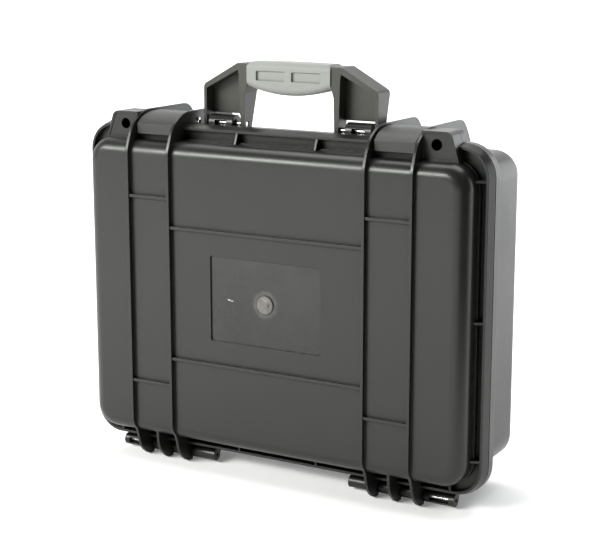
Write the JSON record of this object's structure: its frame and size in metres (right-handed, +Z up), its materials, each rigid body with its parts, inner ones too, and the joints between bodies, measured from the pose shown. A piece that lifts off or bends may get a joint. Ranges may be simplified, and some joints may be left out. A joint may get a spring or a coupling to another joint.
{
  "type": "drone carrying case",
  "caption": "Hard moulded carrying case for a quadcopter, with a hinged lid, throw latches, folding handle, vent and cut foam, standing on its hinge side.",
  "frame": {"origin": "on the floor, under the middle of the case's box, as it stands on its hinge side", "axes": "+X along the handle and the hinge line, -Y out of the lid's panel, +Z up towards the handle"},
  "size_m": [0.4766, 0.143, 0.4406],
  "materials": {
    "shell": "fine moulded texture, charcoal",
    "latch": "satin moulded, black",
    "handle": "satin moulded, charcoal",
    "grip": "soft matte, pale grey-green",
    "steel": "bright drawn wire",
    "seal": "matte black rubber",
    "foam": "open-cell foam, dark grey",
    "vent": "satin moulded, black"
  },
  "bodies": {
    "base": {"base_shell": "shell", "rim_seal": "seal", "base_pad": "foam", "base_foam": "foam", "latch_pin_left": "steel", "latch_pin_right": "steel", "hinge_pin_left": "steel", "hinge_pin_right": "steel", "handle_pin_left": "steel", "handle_pin_right": "steel", "vent_body": "vent", "vent_seal": "seal"},
    "lid": {"lid_shell": "shell", "lid_foam": "foam"},
    "latch_left": {"latch_lever_left": "latch"},
    "latch_right": {"latch_lever_right": "latch"},
    "handle": {"handle_frame": "handle", "handle_grip": "grip"},
    "vent_screw": {"vent_knob": "vent"}
  },
  "joints": [
    {"name": "lid_hinge", "type": "hinge", "parent": "base", "child": "lid", "pos_m": [0, -0.031, 0.009], "axis": [1, 0, 0], "range_deg": [0, 105]},
    {"name": "latch_left_pivot", "type": "hinge", "parent": "base", "child": "latch_left", "pos_m": [-0.1418, -0.0125, 0.3765], "axis": [-1, 0, 0], "range_deg": [0, 110]},
    {"name": "latch_right_pivot", "type": "hinge", "parent": "base", "child": "latch_right", "pos_m": [0.1418, -0.0125, 0.3765], "axis": [-1, 0, 0], "range_deg": [0, 110]},
    {"name": "handle_pivot", "type": "hinge", "parent": "base", "child": "handle", "pos_m": [0, -0.0105, 0.374], "axis": [-1, 0, 0], "range_deg": [0, 83.5]},
    {"name": "vent_turn", "type": "hinge", "parent": "base", "child": "vent_screw", "pos_m": [0, 0.006, 0.3566], "axis": [0, 0, 1], "range_deg": [0, 180]}
  ]
}
